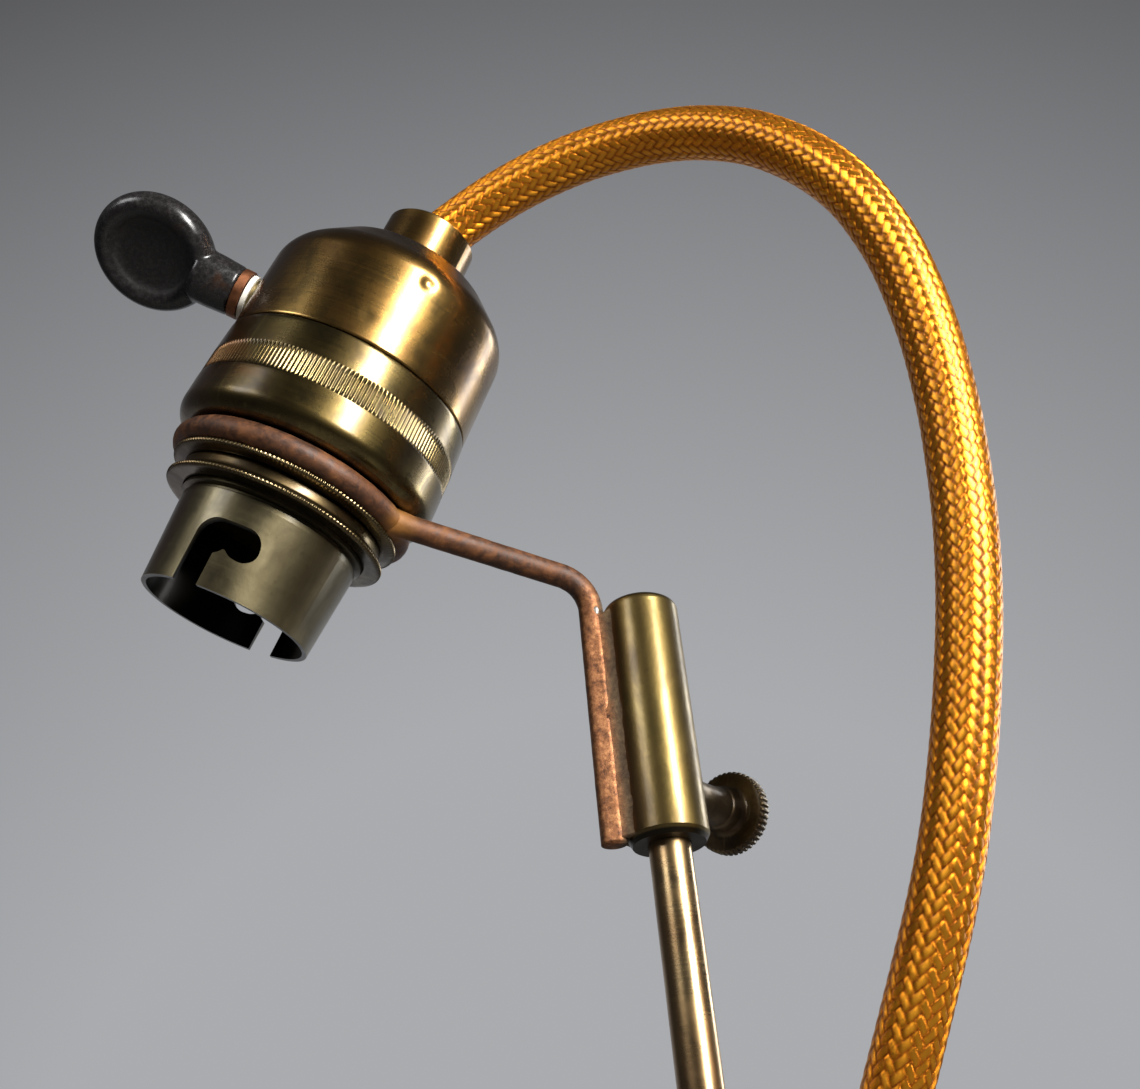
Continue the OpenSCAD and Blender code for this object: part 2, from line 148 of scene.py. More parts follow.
def tube_faces(rows, sides):
    """Faces of a tube of rows rings, closed at both ends."""
    faces = grid_faces(rows, sides)
    faces.append(tuple(range(sides - 1, -1, -1)))
    faces.append(tuple(range((rows - 1) * sides, rows * sides)))
    return faces


def fine(profile, step=0.35):
    """The same closed outline with more points, so that its edges stay crisp under smooth shading."""
    out = []
    for i, point in enumerate(profile):
        a, b = np.array(point, float), np.array(profile[(i + 1) % len(profile)], float)
        length = np.linalg.norm(b - a)
        if length < 1e-9:
            continue
        near = min(0.08, length / 4)
        cuts = [near / length]
        inner = max(0, int(length / step) - 1)
        cuts += [near / length + (1 - 2 * near / length) * (j + 1) / (inner + 1) for j in range(inner)]
        cuts.append(1 - near / length)
        out += [tuple(a + (b - a) * t) for t in cuts]
    return out


def arc(x, y, r, start, end, steps=10):
    angles = [math.radians(start + (end - start) * i / steps) for i in range(steps + 1)]
    return [(x + r * math.cos(a), y + r * math.sin(a)) for a in angles]


def turned(name, profile, place, sides=180, shape=None, step=0.35):
    """A closed outline of (radius, height) points turned about the local Z axis. shape(r, z, angle)
    gives the radius at each angle."""
    outline = np.array(fine(profile, step))
    angles = np.linspace(0, 2 * np.pi, sides, endpoint=False)
    r = np.repeat(outline[:, :1], sides, axis=1)
    z = np.repeat(outline[:, 1:], sides, axis=1)
    a = np.repeat(angles[None, :], len(outline), axis=0)
    if shape is not None:
        r = shape(r, z, a)
    points = np.stack([r * np.cos(a), r * np.sin(a), z], axis=-1)
    faces = grid_faces(len(outline), sides, close_rows=True)
    return add_mesh(name, points, faces, place)


def resample(points, step):
    """Points evenly spaced along a smooth curve through the given ones."""
    points = np.asarray(points, float)
    padded = np.vstack([2 * points[0] - points[1], points, 2 * points[-1] - points[-2]])
    out = []
    for i in range(1, len(padded) - 2):
        p0, p1, p2, p3 = padded[i - 1:i + 3]
        count = max(2, int(np.linalg.norm(p2 - p1) / 0.2))
        t = np.linspace(0, 1, count, endpoint=False)[:, None]
        out.append(0.5 * (2 * p1 + (p2 - p0) * t + (2 * p0 - 5 * p1 + 4 * p2 - p3) * t ** 2
            + (3 * p1 - p0 - 3 * p2 + p3) * t ** 3))
    out = np.vstack(out + [padded[-2][None, :]])
    lengths = np.r_[0, np.cumsum(np.linalg.norm(np.diff(out, axis=0), axis=1))]
    count = max(2, int(round(lengths[-1] / step)) + 1)
    even = np.linspace(0, lengths[-1], count)
    return np.stack([np.interp(even, lengths, out[:, k]) for k in range(3)], axis=1)


def moving_frames(line, first=(0.3, 1, 0.2)):
    """Heading and two side directions at each point of a line, carried along without twist."""
    ahead = np.gradient(line, axis=0)
    ahead /= np.linalg.norm(ahead, axis=1)[:, None]
    side = np.array(first, float)
    sides = []
    for way in ahead:
        side = side - side @ way * way
        side /= np.linalg.norm(side)
        sides.append(side.copy())
    sides = np.array(sides)
    return ahead, sides, np.cross(ahead, sides)


# ---------------------------------------------------------------- flex

UPPER_ROUTE = [(-31, -19.7, 376.6), (-28.2, -20.4, 380.3), (-24.9, -21.2, 383.2),
    (-21, -22.3, 385.5), (-16.7, -23.8, 387.3), (-12, -25.4, 388.7), (-7, -27, 389.7),
    (-1.5, -28.6, 390.3), (4.2, -30.3, 390), (10, -32.2, 388.7), (16.3, -34.4, 385.8),
    (22.9, -36.6, 380.8), (28.8, -37.7, 374.4), (33.3, -37.8, 367.6), (36.2, -37, 361),
    (38.4, -35.6, 353.6), (40, -33.2, 343.8), (40.5, -30.8, 334.6), (40.3, -28.9, 327),
    (39.6, -26.6, 318), (38.2, -23.8, 308.5), (36.3, -20.8, 299.4), (34.3, -18, 291.4),
    (31.9, -15, 283.3), (29.3, -12, 276.2), (26.5, -9, 269.6), (23.5, -5.8, 262.8),
    (20.5, -2.6, 256), (17, 1.5, 247), (14.2, 5.2, 237.5), (12.2, 8.8, 227), (11.2, 12.4, 215),
    (11.4, 16, 201), (12.8, 20, 184), (15, 24, 166), (17.4, 28, 148)]
LOWER_ROUTE = [(17.4, 28, 148), (20, 32.4, 130), (22.6, 37.6, 110), (25.2, 44, 88),
    (27.8, 51.8, 66), (30.2, 60.4, 46), (32.4, 70, 29), (34.4, 80.6, 16), (36.2, 92.4, 8),
    (37.4, 104, 5.2), (38, 111, 4.9)]

BRAID_COLUMNS = 20
BRAID_PITCH = 1.73
BRAID_SLOPE = 0.708
BRAID_DEPTH = 0.2


def braid_surface(angle, along):
    """Height of the braid, 0 to 1, on the flex's surface, how far across a float each point is, and
    which way the float leans. Each strand goes over two and under two."""
    u = angle / (2 * np.pi) * BRAID_COLUMNS
    v = along / BRAID_PITCH
    p, q = v - u, v + u
    i, j = np.floor(p), np.floor(q)
    turn_now = np.mod(j - i, 4).astype(int)
    right = turn_now < 2
    across = np.where(right, p - i, q - j) - 0.5
    length = np.where(right, (q - j + (turn_now == 1)) / 2, (p - i + (turn_now == 2)) / 2)
    crown = np.sqrt(np.clip(1 - (np.abs(across) / 0.505) ** 3.4, 0, 1))
    ends = np.clip(1 - np.abs(2 * length - 1) ** 4, 0, 1) ** 0.6
    return crown * (0.3 + 0.7 * ends), across, np.where(right, 1.0, -1.0)


def braided_tube(name, line, step, sides, start_length=0.0):
    """A closed tube with the braid raised on it, as one grid of points along the line."""
    line = resample(line, step)
    ahead, side, other = moving_frames(line)
    rows = len(line)
    along = start_length + np.r_[0, np.cumsum(np.linalg.norm(np.diff(line, axis=0), axis=1))]
    a, s = np.meshgrid(np.linspace(0, 2 * np.pi, sides, endpoint=False), along)
    height, across, lean = braid_surface(a, s)
    r = CORD_R - BRAID_DEPTH + BRAID_DEPTH * height
    points = line[:, None, :] + r[..., None] * (np.cos(a)[..., None] * side[:, None, :]
        + np.sin(a)[..., None] * other[:, None, :])
    around = (np.cos(a)[..., None] * other[:, None, :] - np.sin(a)[..., None] * side[:, None, :])
    way = ahead[:, None, :] * BRAID_SLOPE - lean[..., None] * around
    tube = add_mesh(name, points, tube_faces(rows, sides))
    layer = tube.data.attributes.new("braid_way", "FLOAT_VECTOR", "POINT")
    layer.data.foreach_set("vector", np.ascontiguousarray(way, dtype=np.float32).ravel())
    for label, values in (("braid_height", height), ("braid_across", across), ("braid_lean", lean)):
        layer = tube.data.attributes.new(label, "FLOAT", "POINT")
        layer.data.foreach_set("value", values.astype(np.float32).ravel())
    return tube, line * MM, along[-1]


def coil_route():
    """Four turns in two layers from the end of the lower stretch, then away to the plug."""
    def on_circle(r, degrees, z):
        angle = math.radians(degrees)
        return (COIL_MIDDLE.x + r * math.cos(angle), COIL_MIDDLE.y + r * math.sin(angle), z)

    route = []
    first = -8.7
    turns = len(COIL_R)
    last = 360 * turns + LEAVE
    steps = 16 * turns + 6
    for i in range(1, steps + 1):
        angle = first + (last - first) * i / steps
        k = min(int((angle + 40) // 360), turns - 1)
        nxt = min(k + 1, turns - 1)
        ease = min(max(((angle + 40) - 360 * k - 280) / 80, 0), 1)
        ease = ease * ease * (3 - 2 * ease)
        r = COIL_R[k] + (COIL_R[nxt] - COIL_R[k]) * ease
        z = COIL_LAYERS[k] + (COIL_LAYERS[nxt] - COIL_LAYERS[k]) * ease
        route.append(on_circle(r, angle, z))
    way = math.radians(PLUG_AIM)
    start = on_circle(COIL_R[-1], LEAVE, COIL_LAYERS[-1])
    rise = PLUG_R - COIL_LAYERS[-1]
    for t in (6, 12, 18, 24, 30, 36, 42, 47, 52, 56):
        lift = rise * (1 - math.cos(math.pi * min(t / PLUG_GAP, 1))) / 2
        route.append((start[0] + math.cos(way) * t, start[1] + math.sin(way) * t, start[2] + lift))
    return route


def make_tie():
    """A flat woven strap round the coil's turns, with rounded corners."""
    corner = 3
    low, high = 0.6, 4 * CORD_R + 1.5
    inner, outer = COIL_R[1] - CORD_R - 0.5, COIL_R[0] + CORD_R + 0.5
    loop = []
    for x, z, start in ((outer - corner, high - corner, 0), (inner + corner, high - corner, 90),
            (inner + corner, low + corner, 180), (outer - corner, low + corner, 270)):
        loop += [((x, z), math.radians(start + 15 * i)) for i in range(7)]
    around = [(-0.42, -2.6), (-0.3, -3), (0.3, -3), (0.42, -2.6), (0.5, 0), (0.42, 2.6), (0.3, 3),
        (-0.3, 3), (-0.42, 2.6), (-0.42, 0)]
    points = []
    for (x, z), angle in loop:
        for out, along in around:
            r = corner + out
            points.append((x + r * math.cos(angle), along, z + r * math.sin(angle)))
    place = move(*COIL_MIDDLE) @ turn("Z", 75)
    tie = add_mesh("tie_strap", points, grid_faces(len(loop), len(around), close_rows=True), place)
    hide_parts("cord_tie")
    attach(tie, "base")
    return tie


def make_flex():
    tie = make_tie()
    upper, upper_line, upper_length = braided_tube("flex_upper", UPPER_ROUTE, 0.2, 160)
    lower, lower_line, _ = braided_tube("flex_lower", LOWER_ROUTE + coil_route(), 0.45, 100,
        upper_length)
    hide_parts("cord_upper")
    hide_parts("cord_lower", "cord_coil", "cord_tail")
    return upper, lower, tie


flex_upper, flex_lower, tie = make_flex()


# ---------------------------------------------------------------- lampholder shells

SHELL_WALL = 0.8
SLOT_COUNT = 190
SHADE_RING_TEETH = 170


def milled(depth, count, inside, low, high):
    """Fine axial cuts round a turned piece, on what lies outside a radius and between two heights."""
    def shape(r, z, a):
        wave = np.clip(1.6 * np.sin(a * count) + 0.4, 0, 1)
        fade = np.clip((z - low) / 0.12, 0, 1) * np.clip((high - z) / 0.12, 0, 1)
        return r - depth * wave * fade * (r > inside)
    return shape


def make_lower_shell():
    x, y = 16.5, 25
    outline = [(13.7, 22.2), (x, 22.2), *arc(x, y, 2.8, 270, 360, 14), (19.2, 28.8), (19.15, 29),
        (19.02, 33), (18.75, SEAM_S - 0.15), (18.5, SEAM_S), (17.5, SEAM_S), (17.5, SEAM_S + 2.8),
        (16.8, SEAM_S + 2.8), (16.8, SEAM_S - 2), (18.4, 32), *arc(x, y, 2.8 - SHELL_WALL, 360, 270, 8),
        (13.7, 22.2 + SHELL_WALL)]
    shell = turned("lower_shell_milled", outline, HOLDER, SLOT_COUNT * 6,
        milled(0.2, SLOT_COUNT, 18.6, 29, 32.6), 0.5)
    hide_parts("lower_shell")
    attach(shell, "head")
    return shell


def make_shade_rings():
    lower = turned("shade_ring_lower", [(13.6, 14.4), (15.8, 14.4), (16.2, 14.55), (16.25, 15.0),
        (15.3, 15.5), (15.05, 15.8), (14.9, 17.3), (13.6, 17.3)], HOLDER, SHADE_RING_TEETH * 5,
        milled(0.12, SHADE_RING_TEETH, 15.9, 14, 16))
    upper = turned("shade_ring_upper", [(13.6, 17.4), (15.4, 17.4), (16.6, 17.72), (16.85, 17.85),
        (16.85, 18.35), (16.6, 18.42), (13.6, 18.42)], HOLDER, SHADE_RING_TEETH * 5,
        milled(0.13, SHADE_RING_TEETH, 16.5, 17.5, 18.5))
    for ring, node_name in ((lower, "lower_shade_ring"), (upper, "upper_shade_ring")):
        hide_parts(node_name)
        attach(ring, "head")
    return lower, upper


def dent(r, z, a, centre_z, centre_angle, size, depth):
    """A shallow round dent in a turned shell."""
    off = np.angle(np.exp(1j * (a - math.radians(centre_angle)))) * r
    return depth * np.exp(-(off ** 2 + (z - centre_z) ** 2) / size ** 2)


def make_cap():
    def outline(inset):
        return [(18.65 - inset, SEAM_S + 0.15), *arc(12.9, 51, 5.5 - inset, 0, 45, 12),
            *arc(11.2, 56.1, 3.2 - inset, 45, 80, 8), (8.6, 59.5 - inset), (5, 59.5 - inset)]

    def shape(r, z, a):
        waviness = 0.05 * np.sin(2 * a + 0.8) * np.sin(z / 6)
        r = r + waviness
        for z0, angle, size, depth in ((50.6, -39, 0.95, 0.3), (47, -75, 1.6, 0.07), (44, -20, 1.3, 0.05),
                (53, -100, 1.4, 0.06), (41.5, -55, 1.0, 0.05), (48, 120, 1.8, 0.08)):
            r = r - dent(r, z, a, z0, angle, size, depth)
        return r

    cap = turned("cap_spun", outline(0) + outline(SHELL_WALL)[::-1], HOLDER, 360, shape)
    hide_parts("cap")
    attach(cap, "head")
    return cap


# ---------------------------------------------------------------- wire arm

RING_S = 20.2
RING_R = 16.2
ARM_ANGLE = 8
BEND_R = 5
LEG_ANGLE = 190
LEG_OFFSET = SLEEVE_R + WIRE_R + 0.05
KNEE_Z = SLEEVE_Z + 39.6
RING_STEPS = 300
BRAZE_ROWS = 120
BRAZE_HEIGHT = 33.4


def swept_wire(name, line, radius, press=None, closed=False, sides=28):
    """A round wire along a line, with an uneven rusty skin. press moves each point afterwards."""
    line = np.asarray(line, float)
    ahead, side, other = moving_frames(line)
    if closed:
        drift = math.atan2(side[-1] @ other[0], side[-1] @ side[0])
        turns = -drift * np.linspace(0, 1, len(line))[:, None]
        side, other = (side * np.cos(turns) + other * np.sin(turns),
            other * np.cos(turns) - side * np.sin(turns))
    a = np.linspace(0, 2 * np.pi, sides, endpoint=False)
    rough = 0.014 * smooth_noise(len(line), sides, closed)
    r = np.asarray(radius, float).reshape(-1, 1) + rough
    points = line[:, None] + r[..., None] * (np.cos(a)[None, :, None] * side[:, None]
        + np.sin(a)[None, :, None] * other[:, None])
    if press is not None:
        points = press(points)
    faces = grid_faces(len(line), sides, close_rows=True) if closed else tube_faces(len(line), sides)
    return add_mesh(name, points, faces)


def smooth_noise(rows, columns, wrap_rows):
    """Lumpy numbers over a grid that wraps round, about -1 to 1."""
    grid = NOISE.normal(size=(rows, columns))
    for _ in range(3):
        grid = (grid + np.roll(grid, 1, 1) + np.roll(grid, -1, 1)) / 3
        inner = (grid[:-2] + grid[1:-1] + grid[2:]) / 3
        grid[1:-1] = inner
        if wrap_rows:
            grid[0] = grid[-1] = (grid[0] + grid[-1]) / 2
    return np.clip(grid * 3, -1.5, 1.5)


def make_arm():
    middle = HOLDER @ Vector((0, 0, RING_S))
    side_x, side_y = Vector(HOLDER.col[0][:3]), Vector(HOLDER.col[1][:3])
    angles = [math.radians(ARM_ANGLE + i * 360 / RING_STEPS) for i in range(RING_STEPS)]
    ring_line = [middle + RING_R * (math.cos(a) * side_x + math.sin(a) * side_y) for a in angles]
    steps = np.arange(RING_STEPS)
    near = np.minimum(steps, RING_STEPS - steps) * 2 * math.pi * RING_R / RING_STEPS
    ring = swept_wire("wire_ring", ring_line, WIRE_R + 0.12 * np.exp(-(near / 2.5) ** 2), closed=True)
    join = ring_line[0]
    leg = math.radians(LEG_ANGLE)
    knee = Vector((LEG_OFFSET * math.cos(leg), LEG_OFFSET * math.sin(leg), KNEE_Z))
    run = (knee - join).normalized()
    down = Vector((0, 0, -1))
    half = math.acos(run @ down) / 2
    cut = BEND_R * math.tan(half)
    corner = knee + (down - run).normalized() * BEND_R / math.cos(half)
    bend = []
    start, end = knee - run * cut - corner, knee + down * cut - corner
    for i in range(1, 16):
        bend.append(corner + start.slerp(end, i / 16) * BEND_R)
    foot = Vector((knee.x, knee.y, SLEEVE_Z + 0.3))
    line = resample([join - run * 0.4, join + run * 6, knee - run * (cut + 4), knee - run * cut,
        *bend, knee + down * cut, knee + down * (cut + 4), foot + Vector((0, 0, 8)), foot], 0.25)
    along = np.linalg.norm(line - np.array(join), axis=1)
    radius = WIRE_R + 0.35 * np.exp(-(along / 1.9) ** 2)

    def file_flat(points):
        """The leg's front is filed to a flat that starts a little below the bend."""
        front = foot.y - WIRE_R + 0.28 + 0.006 * NOISE.normal(size=points.shape[:2])
        low = np.clip((SLEEVE_Z + 33 - points[..., 2]) / 3, 0, 1)
        pressed = np.maximum(points[..., 1], front)
        points[..., 1] += (pressed - points[..., 1]) * low
        return points

    arm = swept_wire("wire_arm", line, radius, file_flat)
    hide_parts("arm_ring")
    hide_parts("arm_run", "arm_leg")
    for piece in (ring, arm):
        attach(piece, "head")
    return ring, arm


def make_braze():
    """The hollow fillet on both faces of the valley between leg and sleeve, lumpy and uneven."""
    rows = BRAZE_ROWS
    front = arc(7.2, 4.8, 3.42, 216, 263, 14)
    outline = [(3.6, 3.4), *front, (LEG_OFFSET, 0.9), (LEG_OFFSET, -0.9),
        *[(x, -y) for x, y in reversed(front)], (3.6, -3.4)]
    columns = len(outline)
    leg = math.radians(LEG_ANGLE)
    lumps = smooth_noise(rows, columns, False)
    slow = smooth_noise(rows, 1, False)
    points = []
    for i in range(rows):
        t = i / (rows - 1)
        for k, (x, y) in enumerate(outline):
            rise = BRAZE_HEIGHT * t - max(0, x - 5) * 0.5 * max(0, t * 6 - 5)
            fill = (0.035 * lumps[i, k] + 0.1 * math.sin(t * 9) + 0.03 * slow[i, 0]) * (0.3 < abs(y) < 3.3)
            y2 = y + math.copysign(fill, y)
            points.append((x * math.cos(leg) - y2 * math.sin(leg), x * math.sin(leg) + y2 * math.cos(leg),
                SLEEVE_Z + 0.8 + rise))
    fillet = add_mesh("braze_fillet", points, tube_faces(rows, columns))
    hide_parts("solder_fillet")
    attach(fillet, "head")
    bead = lumpy_bead("solder_bead", (-6.4, -2.6, SLEEVE_Z + 34.2), (0.5, 0.4, 0.75))
    crumb = lumpy_bead("solder_crumb", (-4.75, -2.75, SLEEVE_Z + 17.5), (0.3, 0.14, 0.8))
    for piece in (bead, crumb):
        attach(piece, "head")
    return fillet, (bead, crumb)


def lumpy_bead(name, place, size):
    """A small frozen drop of solder."""
    rows, columns = 14, 20
    bumps = smooth_noise(rows, columns, False)
    points = []
    for i in range(rows):
        tilt = math.pi * (i + 0.5) / rows
        for k in range(columns):
            angle = 2 * math.pi * k / columns
            r = 1 + 0.14 * bumps[i, k]
            points.append((place[0] + size[0] * r * math.sin(tilt) * math.cos(angle),
                place[1] + size[1] * r * math.sin(tilt) * math.sin(angle),
                place[2] + size[2] * r * math.cos(tilt)))
    return add_mesh(name, points, [tuple(reversed(face)) for face in tube_faces(rows, columns)])


# ---------------------------------------------------------------- thumbscrew

KNURLS = 44


def make_thumbscrew():
    def knurl(r, z, a):
        wave = np.clip(1.5 * np.cos(a * KNURLS) + 0.3, 0, 1)
        return r - 0.3 * wave * (r > 5.6)

    outline = [(0.01, 2.9), (1.9, 2.9), (1.9, 5.8), (2.4, 5.95), (2.35, 8.5), (2.5, 11.5), (2.8, 13.4),
        (2.75, 13.6), (3.0, 13.8), (3.2, 15.4), (3.6, 16.2), (5.5, 16.45), (5.85, 16.75), (5.9, 17),
        (5.9, 18.2), (5.5, 18.5), (4.6, 18.55), (4.2, 18.9), (2.2, 19), (0.01, 18.8)]
    screw = turned("thumbscrew_knurled", outline, THUMB, KNURLS * 10, knurl, 0.4)
    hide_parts("thumbscrew")
    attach(screw, "thumbscrew")
    return screw


# ---------------------------------------------------------------- key

def make_key():
    """The pressed key: a dished disc with a thick rolled rim, on a round neck."""
    rim = [(7.05 + 1.85 * math.cos(math.radians(t)), 2.4 * math.sin(math.radians(t)))
        for t in range(-115, 116, 10)]
    side = [(5.7, 1.85), (5.3, 1.5), (4.6, 1.28), (0.01, 1.15)]
    outline = [*rim, *side, *[(x, -y) for x, y in reversed(side)]]
    disc = turned("key_moulded", outline, PADDLE, 120, lambda r, z, a: r * (1 + 0.025 * np.cos(2 * a)))
    neck = turned("key_neck", [(1.66, 21.2), (3.7, 21.2), (3.85, 21.5), (4.05, 24.5), (4.1, 26.9),
        (3.8, 27.6), (1.66, 27.6)], KEY, 72)
    bpy.ops.object.select_all(action="DESELECT")
    for piece in (disc, neck):
        piece.select_set(True)
    bpy.context.view_layer.objects.active = disc
    bpy.ops.object.join()
    remesh = disc.modifiers.new("skin", "REMESH")
    remesh.mode = "VOXEL"
    remesh.voxel_size = 0.22 * MM
    smooth = disc.modifiers.new("soften", "SMOOTH")
    smooth.factor = 0.5
    smooth.iterations = 4
    bpy.ops.object.modifier_apply(modifier="skin")
    bpy.ops.object.modifier_apply(modifier="soften")
    for polygon in disc.data.polygons:
        polygon.use_smooth = True
    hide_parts("key_paddle")
    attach(disc, "key")
    return disc


def make_collar():
    """The threads on the neck of the skirt, below the shade rings."""
    crests = []
    for i in range(3):
        crests += [(13.3, 13.95 + 0.16 * i), (13.55, 14.03 + 0.16 * i)]
    collar = turned("collar_threads", [(13.3, 13.9), *crests, (13.3, 14.4), (13.0, 14.4), (13.0, 13.9)],
        HOLDER, 180)
    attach(collar, "head")
    return collar


CONTACT_ANGLE = 34.5
CONTACT_OFFSET = 4.6
SPRING_R = 2.2
SPRING_WIRE_R = 0.25
SPRING_TURNS = 4
SPRING_SIDES = 12
SPRING_LOW, SPRING_HIGH = 25.98, 30.64


def make_springs():
    """Fine round springs behind the plungers."""
    springs = []
    for tag, side in (("a", 1), ("b", -1)):
        place = HOLDER @ turn("Z", CONTACT_ANGLE) @ move(CONTACT_OFFSET * side, 0, 0)
        a = np.linspace(0, 2 * np.pi * SPRING_TURNS, 48 * SPRING_TURNS)
        line = np.stack([SPRING_R * np.cos(a), SPRING_R * np.sin(a),
            np.linspace(SPRING_LOW, SPRING_HIGH, len(a))], axis=1)
        _, across, other = moving_frames(line)
        b = np.linspace(0, 2 * np.pi, SPRING_SIDES, endpoint=False)[None, :, None]
        points = line[:, None] + SPRING_WIRE_R * (np.cos(b) * across[:, None] + np.sin(b) * other[:, None])
        spring = add_mesh("spring_wire_" + tag, points, tube_faces(len(line), SPRING_SIDES), place)
        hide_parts("spring_" + tag)
        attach(spring, "head")
        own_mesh(spring)
        springs.append(spring)
    return springs


collar = make_collar()
lower_shell = make_lower_shell()
shade_rings = make_shade_rings()
cap = make_cap()
arm_pieces = make_arm()
fillet, beads = make_braze()
thumbscrew = make_thumbscrew()
key = make_key()
springs = make_springs()


# ---------------------------------------------------------------- node material helpers

class Shader:
    """Builds one procedural material."""

    def __init__(self, name):
        self.material = bpy.data.materials.new(name)
        self.material.use_nodes = True
        self.nodes = self.material.node_tree.nodes
        self.links = self.material.node_tree.links
        self.shader = self.nodes["Principled BSDF"]
        self.place = self.nodes.new("ShaderNodeNewGeometry").outputs["Position"]

    def set(self, **values):
        for key, value in values.items():
            self.shader.inputs[key.replace("_", " ")].default_value = value

    def join(self, source, target):
        self.links.new(source, target)

    def spread(self, scale, where=None):
        """Position times a scale, for stretched noise."""
        node = self.nodes.new("ShaderNodeVectorMath")
        node.operation = "MULTIPLY"
        node.inputs[1].default_value = scale
        self.join(where or self.place, node.inputs[0])
        return node.outputs[0]

    def turned_place(self, matrix):
        """Position in a part's own frame: matrix is that frame in millimetres."""
        inverse = matrix.inverted()
        node = self.nodes.new("ShaderNodeMapping")
        node.vector_type = "POINT"
        place = inverse.to_translation() * MM
        node.inputs["Location"].default_value = place
        node.inputs["Rotation"].default_value = inverse.to_euler("XYZ")
        self.join(self.place, node.inputs["Vector"])
        return node.outputs[0]

    def split(self, vector):
        node = self.nodes.new("ShaderNodeSeparateXYZ")
        self.join(vector, node.inputs[0])
        return node.outputs

    def from_axis(self, x, y):
        """Distance from an axis, from the two coordinates across it."""
        return self.maths("SQRT",
            self.maths("ADD", self.maths("MULTIPLY", x, x), self.maths("MULTIPLY", y, y)))

    def noise(self, scale, detail=6, rough=0.6, where=None, distortion=0.0):
        node = self.nodes.new("ShaderNodeTexNoise")
        node.inputs["Scale"].default_value = scale
        node.inputs["Detail"].default_value = detail
        node.inputs["Roughness"].default_value = rough
        node.inputs["Distortion"].default_value = distortion
        self.join(where or self.place, node.inputs["Vector"])
        return node.outputs["Fac"]

    def ramp(self, value, *stops):
        """Colour stops as (place, (r, g, b))."""
        node = self.nodes.new("ShaderNodeValToRGB")
        ramp = node.color_ramp
        while len(ramp.elements) < len(stops):
            ramp.elements.new(0.5)
        for element, (place, colour) in zip(ramp.elements, stops):
            element.position = place
            element.color = (*colour, 1)
        self.join(value, node.inputs[0])
        return node.outputs["Color"]

    def distance_to(self, spot):
        node = self.nodes.new("ShaderNodeVectorMath")
        node.operation = "DISTANCE"
        self.join(self.place, node.inputs[0])
        node.inputs[1].default_value = spot
        return node.outputs["Value"]

    def level(self, value, low, high, to_low=0.0, to_high=1.0):
        node = self.nodes.new("ShaderNodeMapRange")
        node.inputs["From Min"].default_value = low
        node.inputs["From Max"].default_value = high
        node.inputs["To Min"].default_value = to_low
        node.inputs["To Max"].default_value = to_high
        self.join(value, node.inputs["Value"])
        return node.outputs["Result"]

    def maths(self, operation, a, b=None):
        node = self.nodes.new("ShaderNodeMath")
        node.operation = operation
        for value, socket in ((a, node.inputs[0]), (b, node.inputs[1])):
            if value is None:
                continue
            if isinstance(value, (int, float)):
                socket.default_value = value
            else:
                self.join(value, socket)
        return node.outputs[0]

    def mix(self, factor, a, b, blend="MIX"):
        node = self.nodes.new("ShaderNodeMix")
        node.data_type = "RGBA"
        node.blend_type = blend
        for value, socket in ((factor, node.inputs[0]), (a, node.inputs[6]), (b, node.inputs[7])):
            if isinstance(value, (int, float)):
                socket.default_value = value
            elif isinstance(value, tuple):
                socket.default_value = (*value, 1)
            else:
                self.join(value, socket)
        return node.outputs[2]

    def bump(self, height, strength, distance, under=None):
        node = self.nodes.new("ShaderNodeBump")
        node.inputs["Strength"].default_value = strength
        node.inputs["Distance"].default_value = distance
        self.join(height, node.inputs["Height"])
        if under is not None:
            self.join(under, node.inputs["Normal"])
        return node.outputs["Normal"]

    def attribute(self, name):
        node = self.nodes.new("ShaderNodeAttribute")
        node.attribute_name = name
        return node.outputs["Fac"]

    def pointiness(self):
        return self.nodes.new("ShaderNodeNewGeometry").outputs["Pointiness"]

    def finish(self, colour=None, roughness=None, metallic=None, normal=None):
        for value, key in ((colour, "Base Color"), (roughness, "Roughness"),
                (metallic, "Metallic"), (normal, "Normal")):
            if value is not None:
                self.join(value, self.shader.inputs[key])
        return self.material


def dress(thing, material):
    thing.data.materials.clear()
    thing.data.materials.append(material)


# ---------------------------------------------------------------- materials

